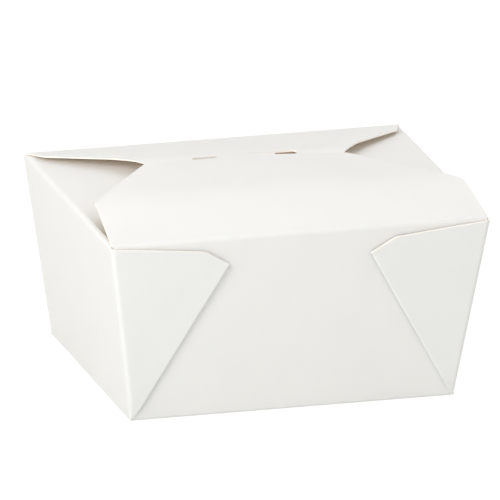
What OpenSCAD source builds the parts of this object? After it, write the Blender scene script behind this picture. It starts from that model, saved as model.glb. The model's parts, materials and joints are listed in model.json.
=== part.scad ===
// Folded paperboard takeout food box, closed.
// One die-cut sheet: a base, four leaning walls, four corner webs that fold in half and lie on the
// outside of the long walls, two end flaps, a slotted back flap and a front flap with a tongue.
// Origin: centre of the underside. X runs along the length, the front wall faces -Y and Z is up.
// Each panel is drawn flat, as it is cut, and each crease carries the next panel at its fold angle.

/* [Base] */
// Length of the base between its end creases
base_l = 111.1; // [96:0.1:124]
// Width of the base between its long creases
base_w = 88.9; // [76:0.1:94]

/* [Rim] */
// Length of the rim between the end wall creases
rim_l = 130.4; // [126:0.1:146]
// Width of the rim between the long wall creases
rim_w = 98.4; // [96:0.1:112]
// Height of the rim creases above the table
rim_h = 62.6; // [54:0.1:76]

/* [Board] */
// Thickness of the paperboard
board = 0.45; // [0.3:0.01:0.6]
// How far the bead of a crease stands out from the face of the board
crease_bead = 0.05; // [0.03:0.01:0.1]
// Air between two layers of board that lie on each other
layer_gap = 0.12; // [0.05:0.01:0.3]

/* [Corner webs] */
// How far the top of a web stops below the rim, along the corner edge
web_drop = 1.2; // [0.8:0.1:3]
// How far the tip of a folded web lies below the rim
web_tip_drop = 9.1; // [8:0.1:14]
// Width of the square cut at the tip of a folded web
web_tip_w = 9.4; // [5:0.1:12]
// Angle at which a folded web stands off its wall
web_lift = 0.7; // [0:0.1:2]

/* [Front flap] */
// Angle at which the front flap rises from its crease
front_rise = 17.5; // [16:0.1:20]
// Flat stretch of the front flap before its bend
front_root = 19; // [17:0.5:20]
// Radius of the bend across the front flap
front_bend_r = 40; // [34:1:46]
// Angle at which the front flap falls after its bend
front_fall = 1.75; // [1:0.05:3]
// Flat stretch of the front flap after its bend
front_tail = 28.8; // [27:0.1:31]
// Distance from the crease at which the sides of the front flap turn in
front_side = 23.5; // [18:0.5:28]
// How far each side of the front flap draws in by then
front_draw = 1.3; // [1:0.1:4]
// Width of the free edge of the front flap
front_edge_w = 70; // [56:1:84]

/* [Tongue] */
// Width of the tongue at its root
tongue_w = 20; // [14:0.5:26]
// How far the tongue runs on past the free edge before it turns down
tongue_reach = 2; // [1.6:0.1:3]
// Length of the tongue below its bend
tongue_l = 12; // [8:0.5:15]
// How much narrower the end of the tongue is than its root
tongue_taper = 5; // [2:0.5:8]

/* [Back flap] */
// Air between the back flap and the front flap that lies over it
flap_gap = 0.43; // [0.3:0.01:0.7]
// Angle at which the back flap dips under the front flap
back_dip = 5; // [3:0.5:8]
// Radius of the bend across the back flap
back_bend_r = 20; // [14:1:26]
// Distance from the free edge of the front flap back to that bend
back_lap = 2.2; // [1.5:0.1:3]
// Depth of the shoulder beside the crease of the back flap
shoulder_l = 10.5; // [7:0.1:12]
// How far the shoulder draws in from the end of the crease
shoulder_draw = 3.6; // [2:0.1:5]
// Distance from the crease at which the sides of the back flap turn in
waist_l = 25.6; // [22:0.1:28]
// Width of the back flap there
waist_w = 89; // [80:1:96]
// Width of the back flap where the front flap covers it
neck_w = 70; // [60:1:76]
// Distance from the slot to the free edge of the back flap
back_margin = 6; // [4:0.5:8]

/* [Slot] */
// Length of the slot for the tongue
slot_l = 36; // [34:0.5:42]
// Width of the slot
slot_w = 2.6; // [2.3:0.1:3.2]
// Air between the tongue and the rear edge of the slot
slot_gap = 0.75; // [0.5:0.05:1.3]

/* [End flaps] */
// Reach of an end flap from its crease to its free edge
end_reach = 38.5; // [30:0.5:42]
// Width of the free edge of an end flap
end_edge_w = 56; // [40:1:58]
// Air between an end flap and the back flap that lies over it
end_gap = 0.4; // [0.3:0.05:0.8]

/* [Fits] */
// Air between the front flap and the box beside and under its crease
hinge_gap = 0.2; // [0.15:0.01:0.4]
// Radius of the soft corners of the flaps
corner_r = 2; // [1:0.1:3]

/* [Hidden] */
$fn = 48;

white = "#f7f6f2";
bead_r = board / 2 + crease_bead;
layer = board + layer_gap;
turn_r = (layer + board) / 2 + crease_bead;
floor_z = board / 2;
rise_h = rim_h - floor_z;

end_out = (rim_l - base_l) / 2;
long_out = (rim_w - base_w) / 2;
end_lean = atan(end_out / rise_h);
long_lean = atan(long_out / rise_h);
end_slant = norm([end_out, rise_h]);
long_slant = norm([long_out, rise_h]);
corner_edge = norm([end_out, long_slant]);

long_angle = 90 + atan(end_out / long_slant);
end_angle = 90 + atan(long_out / end_slant);
web_angle = 360 - 90 - long_angle - end_angle;
web_fold_l = (long_slant - web_tip_drop) / sin(long_angle - web_angle / 2);
inset = turn_r + board / 2 + layer_gap;
inset_x = inset / sin(long_angle);
web_out = 2 * layer * cos(long_lean);

bend_steps = 8;
outline_h = 4 * rim_h;

// Corner points of a path that leaves a crease at one slope, bends and ends at another slope
function bend_slopes(rise, fall) =
    [for (i = [0 : bend_steps]) rise + (fall - rise) * i / bend_steps];

function flap_path(rise, root, bend_r, fall, tail) =
    let (
        start = root * [cos(rise), sin(rise)],
        bend = [for (a = bend_slopes(rise, fall))
            start + bend_r * [sin(rise) - sin(a), cos(a) - cos(rise)]],
        last = bend[bend_steps]
    )
    concat([[0, 0]], bend, [last + tail * [cos(fall), sin(fall)]]);

function flap_slopes(rise, fall) = concat([rise], bend_slopes(rise, fall), [fall]);

function flap_section(path, slopes) =
    let (n = len(path) - 1, half = board / 2)
    concat(
        [for (i = [0 : n]) path[i] + half * [-sin(slopes[i]), cos(slopes[i])]],
        [for (i = [n : -1 : 0]) path[i] - half * [-sin(slopes[i]), cos(slopes[i])]]
    );

front_path = flap_path(front_rise, front_root, front_bend_r, -front_fall,
    front_tail + tongue_reach);
front_end = front_path[len(front_path) - 1];
front_edge = front_end - tongue_reach * [cos(front_fall), -sin(front_fall)];
front_edge_y = front_edge[0] - rim_w / 2;
tongue_r = norm(front_end);
tongue_y = tongue_r - rim_w / 2;

// The back flap climbs straight to a bend that ends just behind the free edge of the front flap
lap_point = [rim_w - front_edge[0], front_edge[1] - board - flap_gap];
bend_end = lap_point + back_lap * [-cos(back_dip), sin(back_dip)];
bend_centre = bend_end - back_bend_r * [sin(back_dip), cos(back_dip)];
back_rise = atan2(bend_centre[1], bend_centre[0]) + asin(back_bend_r / norm(bend_centre));
back_root = sqrt(pow(norm(bend_centre), 2) - pow(back_bend_r, 2));
slot_rear_y = tongue_y + board / 2 + slot_gap;
slot_y = slot_rear_y - slot_w / 2;
back_edge_y = slot_y - slot_w / 2 - back_margin;
back_tail = (rim_w / 2 - bend_end[0] - back_edge_y) / cos(back_dip);
back_path = flap_path(back_rise, back_root, back_bend_r, -back_dip, back_tail);

// The sides and the rise of an end flap keep it just under the back flap
end_lap = (board + end_gap) / tan(back_rise);
end_rise = atan((rim_w / 2 - end_lap - end_edge_w / 2) * tan(back_rise) / end_reach);

module sheet() {
    linear_extrude(board, center = true) children();
}

module soften(r) {
    offset(r) offset(delta = -r) children();
}

module rod(r, l) {
    rotate([0, 90, 0]) cylinder(r = r, h = l);
}

module rod_x(r, l) {
    translate([-l / 2, 0, 0]) rod(r, l);
}

module in_long_wall() {
    translate([0, -base_w / 2, floor_z]) rotate([90 + long_lean, 0, 0]) children();
}

module in_end_wall() {
    translate([-base_l / 2, 0, floor_z]) rotate([90 + end_lean, 0, -90]) children();
}

module at_both(axis) {
    children();
    mirror(axis) children();
}

module at_corners() {
    at_both([1, 0, 0]) at_both([0, 1, 0]) children();
}

// Frame of a corner web: x climbs the corner edge and -y points across the long wall
module in_web(out) {
    in_long_wall() translate([-base_l / 2, 0, out]) rotate([0, 0, long_angle])
        rotate([-web_lift, 0, 0]) children();
}

module base_panel() {
    translate([0, 0, floor_z]) sheet() square([base_l, base_w], center = true);
}

module long_wall(top) {
    foot = base_l / 2 - inset_x;
    head = foot + end_out * top / long_slant;
    in_long_wall() sheet() polygon([[-foot, 0], [foot, 0], [head, top], [-head, top]]);
}

module end_wall() {
    foot = base_w / 2 + web_out;
    head = rim_w / 2 + web_out;
    in_end_wall() sheet() polygon([[-foot, 0], [foot, 0], [head, end_slant], [-head, end_slant]]);
}

module base_creases() {
    at_both([0, 1, 0]) translate([0, -base_w / 2, floor_z]) rod_x(bead_r, base_l - 2 * inset_x);
    at_both([1, 0, 0]) translate([-base_l / 2, 0, floor_z])
        rotate([0, 0, 90]) rod_x(bead_r, base_w + 2 * web_out);
}

// One half of a folded web, inward of the line that lies "from" beyond the corner edge
module web_half(from) {
    half = web_angle / 2;
    top = corner_edge - web_drop;
    tip = web_fold_l * [cos(half), -sin(half)];
    chamfer = tip + web_tip_w * [sin(half), cos(half)];
    foot = from / sin(half);
    head = from * (top - chamfer[0]) / -chamfer[1];
    sheet() polygon([
        foot * [cos(half), -sin(half)],
        tip,
        chamfer,
        [top - head, -from]
    ]);
}

module corner_web() {
    top = corner_edge - web_drop;
    foot = inset / tan(web_angle / 2);
    in_web(layer) web_half(inset);
    in_web(2 * layer) web_half(0);
    in_web(layer / 2) translate([0, -inset, 0]) rod(turn_r, top - inset);
    in_web(1.5 * layer) rotate([0, 0, -web_angle / 2]) rod(turn_r, web_fold_l);
    in_web(2 * layer) {
        rod(bead_r, corner_edge);
        sphere(r = bead_r + crease_bead);
    }
}

// Frame of an end flap: x points inward from the crease of the end wall
module in_end_flap() {
    translate([-rim_l / 2, 0, rim_h]) rotate([0, -end_rise, 0]) children();
}

module end_flap() {
    root = rim_w / 2 - end_lap;
    edge = end_edge_w / 2;
    in_end_flap() {
        sheet() soften(corner_r) polygon([[0, -root], [end_reach, -edge], [end_reach, edge], [0, root]]);
        rotate([0, 0, 90]) rod_x(bead_r, 2 * root);
    }
}

module flap_strip(path, slopes) {
    translate([0, -rim_w / 2, rim_h]) rotate([90, 0, 90])
        linear_extrude(rim_l, center = true) polygon(flap_section(path, slopes));
}

module seen_from_above() {
    linear_extrude(outline_h) children();
}

module front_outline() {
    hinge_y = -rim_w / 2;
    root = rim_l / 2 - bead_r - hinge_gap;
    side = root - front_draw;
    edge = front_edge_w / 2;
    soften(corner_r) polygon([
        [-root, hinge_y - 2 * corner_r], [root, hinge_y - 2 * corner_r], [root, hinge_y],
        [side, hinge_y + front_side], [edge, front_edge_y], [-edge, front_edge_y],
        [-side, hinge_y + front_side], [-root, hinge_y]
    ]);
    translate([-tongue_w / 2, 0]) square([tongue_w, tongue_y + board]);
}

// The tongue curves about the crease of the front flap, so that it swings out of the slot
module tongue() {
    foot = tongue_w / 2;
    toe = foot - tongue_taper / 2;
    top = front_end[1];
    end = top - tongue_l;
    translate([0, -rim_w / 2, rim_h]) intersection() {
        rotate([0, 90, 0]) difference() {
            cylinder(r = tongue_r + board / 2, h = rim_l, center = true, $fn = 180);
            cylinder(r = tongue_r - board / 2, h = 2 * rim_l, center = true, $fn = 180);
        }
        rotate([90, 0, 180]) linear_extrude(2 * tongue_r) difference() {
            soften(corner_r) polygon([[-foot, top + foot], [foot, top + foot], [foot, top],
                [toe, end], [-toe, end], [-foot, top]]);
            translate([-foot, top]) square(tongue_w);
        }
    }
}

module back_outline() {
    crease_y = rim_w / 2;
    root = rim_l / 2 - bead_r;
    shoulder = [root - shoulder_draw, crease_y - shoulder_l];
    waist = [waist_w / 2, crease_y - waist_l];
    neck = [neck_w / 2, front_edge_y];
    edge = [neck[0] - back_margin / 2, back_edge_y];
    side = [[root, crease_y + 2 * corner_r], [root, crease_y], shoulder, waist, neck, edge];
    soften(corner_r) polygon(concat(
        side,
        [for (i = [len(side) - 1 : -1 : 0]) [-side[i][0], side[i][1]]]
    ));
}

module slot() {
    straight = slot_l - slot_w;
    translate([0, slot_y]) {
        square([straight, slot_w], center = true);
        for (side = [-1, 1]) translate([side * straight / 2, 0]) circle(d = slot_w);
    }
}

module back_flap() {
    difference() {
        intersection() {
            mirror([0, 1, 0]) flap_strip(back_path, flap_slopes(back_rise, -back_dip));
            seen_from_above() back_outline();
        }
        seen_from_above() slot();
    }
}

module box() {
    color(white) difference() {
        union() {
            base_panel();
            long_wall(long_slant - bead_r - hinge_gap);
            mirror([0, 1, 0]) long_wall(long_slant);
            at_both([1, 0, 0]) end_wall();
            base_creases();
            at_corners() corner_web();
            at_both([1, 0, 0]) end_flap();
            back_flap();
            translate([0, rim_w / 2, rim_h]) rod_x(bead_r, rim_l - 2 * inset_x);
        }
        translate([0, 0, -rim_h]) linear_extrude(rim_h) square(4 * rim_l, center = true);
    }
}

module tab_flap() {
    color(white) {
        intersection() {
            flap_strip(front_path, flap_slopes(front_rise, -front_fall));
            seen_from_above() front_outline();
        }
        translate([0, -rim_w / 2, rim_h]) {
            rod_x(bead_r, rim_l - 2 * (bead_r + hinge_gap));
            translate([0, front_end[0], front_end[1]]) rod_x(bead_r, tongue_w);
        }
        tongue();
    }
}

box();
tab_flap();
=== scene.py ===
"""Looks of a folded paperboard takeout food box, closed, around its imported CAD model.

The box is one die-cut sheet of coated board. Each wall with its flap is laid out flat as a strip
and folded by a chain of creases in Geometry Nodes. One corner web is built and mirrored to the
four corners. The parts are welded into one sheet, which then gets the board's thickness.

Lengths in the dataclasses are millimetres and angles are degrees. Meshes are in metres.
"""

import json
import logging
import math
from dataclasses import dataclass, field, replace
from enum import Enum

import bmesh
import bpy
import numpy as np
from mathutils import Matrix, Vector
from mathutils.geometry import delaunay_2d_cdt
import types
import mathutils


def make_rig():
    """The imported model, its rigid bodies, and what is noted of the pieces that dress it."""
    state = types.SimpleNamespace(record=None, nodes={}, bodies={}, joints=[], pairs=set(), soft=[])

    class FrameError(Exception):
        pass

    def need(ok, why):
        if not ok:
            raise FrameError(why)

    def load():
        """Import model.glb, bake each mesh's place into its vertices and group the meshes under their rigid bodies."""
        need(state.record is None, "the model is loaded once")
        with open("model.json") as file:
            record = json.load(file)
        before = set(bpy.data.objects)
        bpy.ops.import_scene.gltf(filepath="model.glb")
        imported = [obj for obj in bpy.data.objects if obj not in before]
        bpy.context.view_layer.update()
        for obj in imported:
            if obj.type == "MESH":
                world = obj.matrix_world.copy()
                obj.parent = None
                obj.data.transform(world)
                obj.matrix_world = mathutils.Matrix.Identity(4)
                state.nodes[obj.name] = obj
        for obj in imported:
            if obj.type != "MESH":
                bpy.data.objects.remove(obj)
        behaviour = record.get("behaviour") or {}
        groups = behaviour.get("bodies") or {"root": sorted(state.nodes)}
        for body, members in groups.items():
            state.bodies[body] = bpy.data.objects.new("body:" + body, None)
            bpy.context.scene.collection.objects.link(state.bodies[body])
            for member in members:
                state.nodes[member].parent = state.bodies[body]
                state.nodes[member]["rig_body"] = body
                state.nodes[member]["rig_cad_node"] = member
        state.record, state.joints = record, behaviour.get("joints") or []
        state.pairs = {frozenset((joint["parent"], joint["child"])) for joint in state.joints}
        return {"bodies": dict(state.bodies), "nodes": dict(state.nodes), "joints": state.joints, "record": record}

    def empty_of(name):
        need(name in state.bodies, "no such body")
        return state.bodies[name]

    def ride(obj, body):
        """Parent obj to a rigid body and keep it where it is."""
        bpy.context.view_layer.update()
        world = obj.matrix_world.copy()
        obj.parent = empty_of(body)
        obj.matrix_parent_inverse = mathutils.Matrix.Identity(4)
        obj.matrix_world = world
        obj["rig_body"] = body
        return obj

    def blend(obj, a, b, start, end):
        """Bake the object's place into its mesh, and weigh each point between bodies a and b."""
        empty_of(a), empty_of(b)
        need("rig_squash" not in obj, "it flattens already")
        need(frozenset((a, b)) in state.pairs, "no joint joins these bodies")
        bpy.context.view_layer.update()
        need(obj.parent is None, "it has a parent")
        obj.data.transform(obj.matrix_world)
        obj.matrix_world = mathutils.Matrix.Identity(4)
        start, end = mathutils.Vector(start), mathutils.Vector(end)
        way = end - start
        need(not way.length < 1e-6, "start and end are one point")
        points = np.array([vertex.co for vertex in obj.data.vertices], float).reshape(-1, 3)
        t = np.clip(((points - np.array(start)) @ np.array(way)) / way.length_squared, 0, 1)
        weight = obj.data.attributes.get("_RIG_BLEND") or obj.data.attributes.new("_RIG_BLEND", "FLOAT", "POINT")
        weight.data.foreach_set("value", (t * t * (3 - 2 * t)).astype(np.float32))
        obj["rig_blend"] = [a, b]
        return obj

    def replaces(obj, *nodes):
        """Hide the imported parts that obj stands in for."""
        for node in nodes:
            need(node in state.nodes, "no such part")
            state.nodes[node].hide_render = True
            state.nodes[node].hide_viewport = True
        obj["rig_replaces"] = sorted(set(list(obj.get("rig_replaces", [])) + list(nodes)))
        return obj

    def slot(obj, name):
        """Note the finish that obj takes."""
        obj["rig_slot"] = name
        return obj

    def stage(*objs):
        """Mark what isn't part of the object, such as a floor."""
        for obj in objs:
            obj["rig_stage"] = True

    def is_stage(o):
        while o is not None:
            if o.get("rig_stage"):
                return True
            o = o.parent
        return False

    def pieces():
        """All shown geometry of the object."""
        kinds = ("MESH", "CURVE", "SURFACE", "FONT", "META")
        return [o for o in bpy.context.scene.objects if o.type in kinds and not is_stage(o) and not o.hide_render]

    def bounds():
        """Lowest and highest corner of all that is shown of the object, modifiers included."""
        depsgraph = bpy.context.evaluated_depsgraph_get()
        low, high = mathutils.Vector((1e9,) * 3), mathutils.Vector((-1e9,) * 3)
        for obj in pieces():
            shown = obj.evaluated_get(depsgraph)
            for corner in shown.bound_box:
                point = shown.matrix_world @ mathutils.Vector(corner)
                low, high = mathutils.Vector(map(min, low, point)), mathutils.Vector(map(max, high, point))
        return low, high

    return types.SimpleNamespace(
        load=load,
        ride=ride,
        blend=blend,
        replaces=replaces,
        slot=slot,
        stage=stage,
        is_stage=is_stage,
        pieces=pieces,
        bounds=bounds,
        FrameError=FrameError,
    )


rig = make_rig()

LOG = logging.getLogger("takeout_box")

MM = 0.001
WELD = 0.002 * MM
IMAGE_PX = 500
SENSOR_MM = 36.0
SIZE_FILE = "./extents.json"
WHITE = (1.0, 1.0, 1.0, 1.0)

# Distance from the middle line at which a flap hangs half as low as its full droop would bring it.
DROOP_START = 12.0
# Faces across the tongue's width, and from there to each side of a strip.
INNER_COLUMNS = 8
OUTER_COLUMNS = 18
# Nearest that an even row may lie to one that the outline needs.
ROW_CLEARANCE = 0.15
# Most of a side that the round at one of its ends may take up.
ROUND_SHARE = 0.45
# Angle between faces from which an edge is drawn sharp.
SHARP_ANGLE = 40.0
# Steps of the tables that turn distances along a bent strip into distances on the plan.
TABLE_STEPS = 400
# Share of the slot's radius within which the middle of a face lies in the slot.
SLOT_SHARE = 0.98
# Distance at which points are one, where the slot is cut.
CLOSE = 1e-5

Points = list[tuple[float, float]]


class Facing(Enum):
    """Which way a strip runs out from the middle of the base, as a turn about the vertical."""

    FRONT = math.pi
    BACK = 0.0
    LEFT = math.pi / 2
    RIGHT = -math.pi / 2


class Face(Enum):
    """Material slots of a piece of board, in the order that the thickness gives them."""

    OUTER = 0
    INNER = 1
    CUT = 2


Finishes = dict[Face, bpy.types.Material]


@dataclass(frozen=True)
class Slope:
    """How far out and how far up a wall goes from the base to the rim."""

    out: float
    rise: float

    @property
    def slant(self) -> float:
        """Length of the wall along its slope."""
        return math.hypot(self.out, self.rise)

    @property
    def lean(self) -> float:
        """Lean of the wall from upright."""
        return math.degrees(math.atan2(self.out, self.rise))


@dataclass(frozen=True)
class BoxSizes:
    """Sizes of the box, repeated from the part's source, which this script can't read."""

    base_l: float = 111.1
    base_w: float = 88.9
    rim_l: float = 130.4
    rim_w: float = 98.4
    rim_h: float = 62.6
    board: float = 0.45
    crease_bead: float = 0.05
    layer_gap: float = 0.12
    hinge_gap: float = 0.2

    @property
    def floor_z(self) -> float:
        """Height of the middle of the base board."""
        return self.board / 2

    @property
    def end(self) -> Slope:
        """Slope of the end walls."""
        return Slope((self.rim_l - self.base_l) / 2, self.rim_h - self.floor_z)

    @property
    def long(self) -> Slope:
        """Slope of the long walls."""
        return Slope((self.rim_w - self.base_w) / 2, self.rim_h - self.floor_z)

    @property
    def layer(self) -> float:
        """Step from the middle of one layer of board to the next."""
        return self.board + self.layer_gap

    @property
    def flap_root(self) -> float:
        """Half width of the front flap and the back flap at the rim, short of the corners."""
        return self.rim_l / 2 - (self.board / 2 + self.crease_bead)


@dataclass(frozen=True)
class Turn:
    """One crease or bend across a strip.

    start is the distance along the flat strip at which it begins, and radius is that of the middle
    of the board.
    """

    name: str
    start: float
    radius: float
    angle: float

    @property
    def length(self) -> float:
        """Length of board in the turn."""
        return self.radius * math.radians(self.angle)

    @property
    def end(self) -> float:
        """Distance along the flat strip at which the turn ends."""
        return self.start + self.length

    def bend(self, along: float, up: float) -> tuple[float, float]:
        """Carries a point of the strip round the turn.

        Args:
            along: Distance along the strip.
            up: Height over the strip, on the inner side of the box.

        Returns:
            The point's new distance and height.
        """
        turned = min(max(along - self.start, 0.0), self.length)
        angle = turned / self.radius
        rest = along - self.start - turned
        reach = self.radius - up
        return (
            self.start + reach * math.sin(angle) + rest * math.cos(angle),
            self.radius - reach * math.cos(angle) + rest * math.sin(angle),
        )


def setback(radius: float, angle: float) -> float:
    """Distance from a sharp crease to where its round starts, for a radius and an angle."""
    return radius * math.tan(math.radians(angle) / 2)


def folded(turns: list[Turn], along: float) -> tuple[float, float]:
    """Place of a point of the flat strip after every turn.

    Args:
        turns: The strip's turns, nearest first.
        along: Distance along the flat strip.

    Returns:
        Distance out from the middle of the base and height over its board.
    """
    point = (along, 0.0)
    for turn in reversed(turns):
        point = turn.bend(*point)
    return point


def fillet(points: Points, radius: float, steps: int = 5) -> Points:
    """Rounds the inner points of a line.

    Args:
        points: Distance and half width of each point.
        radius: Radius of the rounds.
        steps: Segments in each round.

    Returns:
        The line with its rounds.
    """
    line = [points[0]]
    for before, corner, after in zip(points, points[1:], points[2:]):
        a, b, c = (np.array(p, float) for p in (before, corner, after))
        u, v = (a - b) / np.linalg.norm(a - b), (c - b) / np.linalg.norm(c - b)
        half = math.acos(max(-1.0, min(1.0, float(u @ v)))) / 2
        shorter = min(np.linalg.norm(a - b), np.linalg.norm(c - b))
        run = min(radius / math.tan(half), ROUND_SHARE * shorter)
        middle = b + (u + v) / np.linalg.norm(u + v) * run / math.cos(half)
        arms = [b + u * run - middle, b + v * run - middle]
        sweep = math.pi - 2 * half
        for step in range(steps + 1):
            t = step / steps
            first, second = math.sin((1 - t) * sweep), math.sin(t * sweep)
            arm = (arms[0] * first + arms[1] * second) / math.sin(sweep)
            line.append(tuple(middle + arm))
    line.append(points[-1])
    return line


@dataclass(frozen=True)
class Row:
    """One line of vertices across a strip.

    tongue rows have the middle columns only, outward is how far the row swells out of the box,
    shift is how far its middle lies off the middle line, and droop is the slope at which one half
    of it hangs down in the end.
    """

    along: float
    half: float
    tongue: bool = False
    outward: float = 0.0
    shift: float = 0.0
    droop: float = 0.0

    def inward(self, x: float, hanging: int) -> float:
        """How far a point of the row lies on the inner side of the flat strip.

        Args:
            x: Distance from the middle line.
            hanging: Sign of x on the half that droops.

        Returns:
            The height over the flat strip.
        """
        beyond = max(hanging * x, 0.0)
        swell = self.outward * (1 - (x / self.half) ** 2)
        return self.droop * beyond ** 2 / (beyond + DROOP_START) - swell


def outline_rows(along: list[float], reach: list[float], outline: Points,
                 first: float, last: float, spacing: float) -> list[Row]:
    """Rows of a flap whose sides follow an outline.

    Args:
        along: Distances along the flat strip, rising.
        reach: How far each of them lies from the crease, as the outline is drawn.
        outline: Distance from the crease and half width of each point of the side.
        first: Distance along the flat strip of the first row.
        last: Distance along the flat strip of the last row.
        spacing: Greatest distance between rows.

    Returns:
        The rows in order, one through each point of the outline.
    """
    places = list(np.linspace(first, last, max(2, math.ceil((last - first) / spacing) + 1)))
    for distance, _ in outline:
        place = float(np.interp(distance, reach, along))
        if first < place < last:
            places = [
                p for p in places if abs(p - place) > ROW_CLEARANCE or p in (first, last)
            ] + [place]
    distances, halves = zip(*outline)
    return [
        Row(place, float(np.interp(np.interp(place, along, reach), distances, halves)))
        for place in sorted(places)
    ]


def add_node(tree: bpy.types.NodeTree, kind: str, inputs: dict | None = None,
             **settings: object) -> bpy.types.Node:
    """Adds a node to a tree.

    Args:
        tree: The tree.
        kind: The node's type name.
        inputs: For each socket, by name or number, a value, the socket that feeds it or the node
            whose first output does.
        **settings: Properties of the node.

    Returns:
        The new node.
    """
    node = tree.nodes.new(kind)
    for name, value in settings.items():
        setattr(node, name, value)
    for key, value in (inputs or {}).items():
        if isinstance(value, bpy.types.Node):
            value = value.outputs[0]
        if isinstance(value, bpy.types.NodeSocket):
            tree.links.new(value, node.inputs[key])
        else:
            node.inputs[key].default_value = value
    return node


def new_tree(name: str, floats: list[str]) -> tuple[bpy.types.NodeTree, bpy.types.Node]:
    """Starts a Geometry Nodes tree that takes and gives a geometry.

    Args:
        name: Name of the tree.
        floats: Name of each number that it takes.

    Returns:
        The tree and its group input.
    """
    tree = bpy.data.node_groups.new(name, "GeometryNodeTree")
    face = tree.interface
    face.new_socket("Geometry", in_out="INPUT", socket_type="NodeSocketGeometry")
    for label in floats:
        face.new_socket(label, in_out="INPUT", socket_type="NodeSocketFloat")
    face.new_socket("Geometry", in_out="OUTPUT", socket_type="NodeSocketGeometry")
    return tree, tree.nodes.new("NodeGroupInput")


def close_tree(tree: bpy.types.NodeTree, shape: bpy.types.NodeSocket,
             board: bpy.types.Material) -> bpy.types.NodeTree:
    """Ends a tree in real geometry with a material.

    Args:
        tree: The tree.
        shape: The geometry that it has made.
        board: Material of the outer face.

    Returns:
        The tree.
    """
    real = add_node(tree, "GeometryNodeRealizeInstances", {0: shape})
    dressed = add_node(tree, "GeometryNodeSetMaterial", {"Geometry": real, "Material": board})
    add_node(tree, "NodeGroupOutput", {0: dressed})
    return tree


def crease_tree() -> bpy.types.NodeTree:
    """Builds the group that folds a strip upwards round one crease, as Turn.bend does."""
    tree, given = new_tree("Crease", ["Start", "Radius", "Angle"])

    def maths(operation: str, *values: object) -> bpy.types.NodeSocket:
        """Adds one sum and returns its result."""
        node = add_node(tree, "ShaderNodeMath", dict(enumerate(values)), operation=operation)
        return node.outputs[0]

    start, radius, angle = (given.outputs[name] for name in ("Start", "Radius", "Angle"))
    place = add_node(tree, "GeometryNodeInputPosition")
    axes = add_node(tree, "ShaderNodeSeparateXYZ", {0: place})
    away = maths("SUBTRACT", axes.outputs["Y"], start)
    turned = maths("MAXIMUM", maths("MINIMUM", away, maths("MULTIPLY", radius, angle)), 0.0)
    phi = maths("DIVIDE", turned, radius)
    rest = maths("SUBTRACT", away, turned)
    reach = maths("SUBTRACT", radius, axes.outputs["Z"])
    sine, cosine = maths("SINE", phi), maths("COSINE", phi)
    across_it = maths("ADD", maths("MULTIPLY", reach, sine), maths("MULTIPLY", rest, cosine))
    drop = maths("SUBTRACT", maths("MULTIPLY", reach, cosine), maths("MULTIPLY", rest, sine))
    moved = add_node(tree, "ShaderNodeCombineXYZ", {
        "X": axes.outputs["X"], "Y": maths("ADD", start, across_it),
        "Z": maths("SUBTRACT", radius, drop),
    })
    bent = add_node(tree, "GeometryNodeSetPosition", {"Geometry": given, "Position": moved})
    add_node(tree, "NodeGroupOutput", {0: bent})
    return tree


def fold_tree(name: str, turns: list[Turn], crease: bpy.types.NodeTree,
              board: bpy.types.Material) -> bpy.types.NodeTree:
    """Builds the tree that folds a flat strip and stands it on its side of the base.

    Args:
        name: Name of the tree.
        turns: The strip's turns, nearest first.
        crease: The group that makes one fold.
        board: Material of the outer face.

    Returns:
        The tree, with three named inputs for each turn, the facing and the height.
    """
    measures = ("start", "radius", "angle")
    floats = [f"{turn.name} {what}" for turn in turns for what in measures]
    tree, given = new_tree(name, [*floats, "Facing", "Height"])
    sheet = given.outputs[0]
    for turn in reversed(turns):
        group = tree.nodes.new("GeometryNodeGroup")
        group.node_tree = crease
        tree.links.new(sheet, group.inputs["Geometry"])
        for what in measures:
            tree.links.new(given.outputs[f"{turn.name} {what}"], group.inputs[what.title()])
        sheet = group.outputs[0]
    spin = add_node(tree, "ShaderNodeCombineXYZ", {"Z": given.outputs["Facing"]})
    lift = add_node(tree, "ShaderNodeCombineXYZ", {"Z": given.outputs["Height"]})
    placed = add_node(tree, "GeometryNodeTransform", {
        "Geometry": sheet, "Rotation": spin, "Translation": lift,
    })
    return close_tree(tree, placed.outputs[0], board)


def corners_tree(board: bpy.types.Material) -> bpy.types.NodeTree:
    """Builds the tree that mirrors one corner web to the four corners of the box."""
    tree, given = new_tree("Four corners", [])
    webs = given.outputs[0]
    for scale in ((-1.0, 1.0, 1.0), (1.0, -1.0, 1.0)):
        twin = add_node(tree, "GeometryNodeTransform", {"Geometry": webs, "Scale": scale})
        turned = add_node(tree, "GeometryNodeFlipFaces", {0: twin})
        joined = tree.nodes.new("GeometryNodeJoinGeometry")
        tree.links.new(webs, joined.inputs[0])
        tree.links.new(turned.outputs[0], joined.inputs[0])
        webs = joined.outputs[0]
    return close_tree(tree, webs, board)


def settled_mesh(thing: bpy.types.Object) -> bpy.types.Mesh:
    """A plain mesh of an object with its modifiers at work."""
    bpy.context.view_layer.update()
    graph = bpy.context.evaluated_depsgraph_get()
    return bpy.data.meshes.new_from_object(thing.evaluated_get(graph))


def through_tree(mesh: bpy.types.Mesh, tree: bpy.types.NodeTree,
                 values: dict[str, float]) -> bpy.types.Mesh:
    """Runs a mesh through a Geometry Nodes tree.

    Args:
        mesh: The mesh, which is used up.
        tree: The tree.
        values: Its numbers, by name.

    Returns:
        A plain mesh of the result.
    """
    holder = bpy.data.objects.new("holder", mesh)
    bpy.context.scene.collection.objects.link(holder)
    modifier = holder.modifiers.new("fold", "NODES")
    modifier.node_group = tree
    for item in tree.interface.items_tree:
        if item.in_out == "INPUT" and item.name in values:
            modifier[item.identifier] = float(values[item.name])
    result = settled_mesh(holder)
    bpy.data.objects.remove(holder)
    return result


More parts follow.
